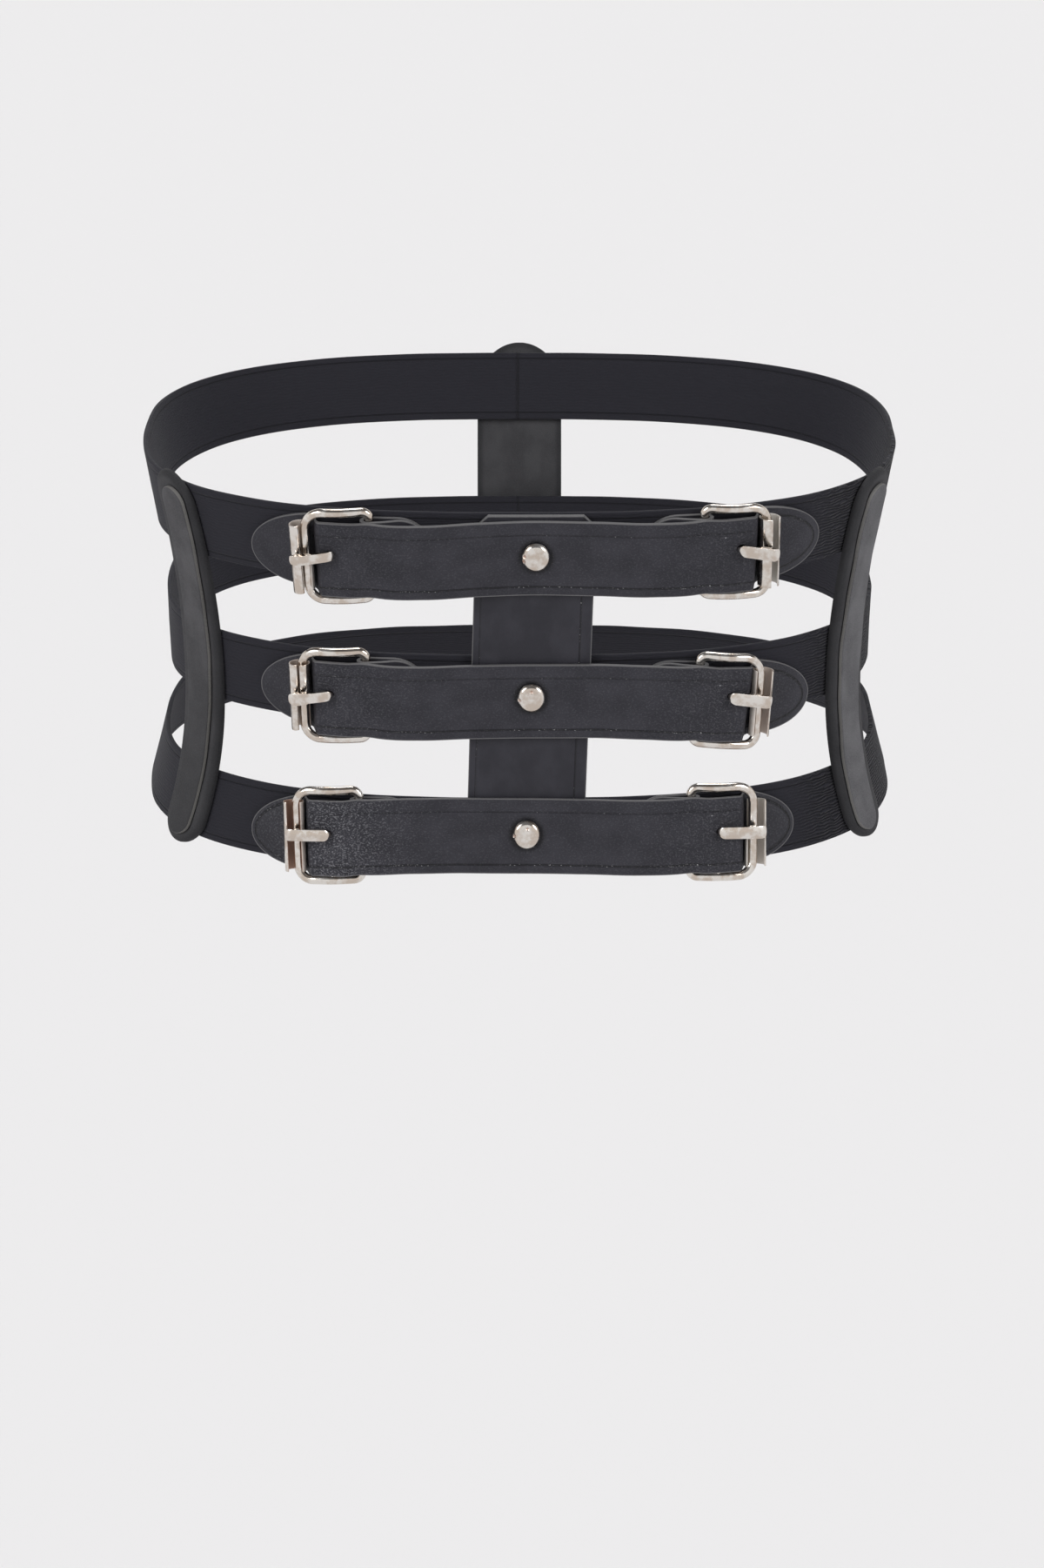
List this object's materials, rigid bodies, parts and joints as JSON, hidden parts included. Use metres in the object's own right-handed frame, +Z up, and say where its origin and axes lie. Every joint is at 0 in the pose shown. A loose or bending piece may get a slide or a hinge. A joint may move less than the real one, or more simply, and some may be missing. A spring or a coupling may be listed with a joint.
{
  "type": "wide elastic cage belt",
  "caption": "Wide cage belt of elastic bands round the waist, held apart by upright leather tabs, with riveted leather straps and roller buckles across the front.",
  "frame": {"origin": "middle of the waist opening, at the height of the middle band", "axes": "+Z up as worn, -Y the front with the buckles, +X to the right as seen from the front"},
  "size_m": [0.258, 0.2104, 0.1332],
  "materials": {
    "elastic": "matt ribbed elastic webbing",
    "strap_leather": "smooth semi-matt black leather with a soft sheen",
    "tab_leather": "grained matt charcoal leather",
    "nickel": "polished nickel plate, lightly worn"
  },
  "bodies": {
    "root": {"elastic_band_top": "elastic", "elastic_band_middle": "elastic", "elastic_band_bottom": "elastic", "front_strap_top": "strap_leather", "rivet_top": "nickel", "chape_top_left": "strap_leather", "buckle_frame_top_left": "nickel", "buckle_roller_top_left": "nickel", "buckle_prong_top_left": "nickel", "chape_top_right": "strap_leather", "buckle_frame_top_right": "nickel", "buckle_roller_top_right": "nickel", "buckle_prong_top_right": "nickel", "front_strap_middle": "strap_leather", "rivet_middle": "nickel", "chape_middle_left": "strap_leather", "buckle_frame_middle_left": "nickel", "buckle_roller_middle_left": "nickel", "buckle_prong_middle_left": "nickel", "chape_middle_right": "strap_leather", "buckle_frame_middle_right": "nickel", "buckle_roller_middle_right": "nickel", "buckle_prong_middle_right": "nickel", "front_strap_bottom": "strap_leather", "rivet_bottom": "nickel", "chape_bottom_left": "strap_leather", "buckle_frame_bottom_left": "nickel", "buckle_roller_bottom_left": "nickel", "buckle_prong_bottom_left": "nickel", "chape_bottom_right": "strap_leather", "buckle_frame_bottom_right": "nickel", "buckle_roller_bottom_right": "nickel", "buckle_prong_bottom_right": "nickel", "centre_strap": "strap_leather", "side_tab_left": "tab_leather", "side_facing_left": "tab_leather", "side_tab_right": "tab_leather", "side_facing_right": "tab_leather", "back_tab": "tab_leather"}
  },
  "joints": []
}
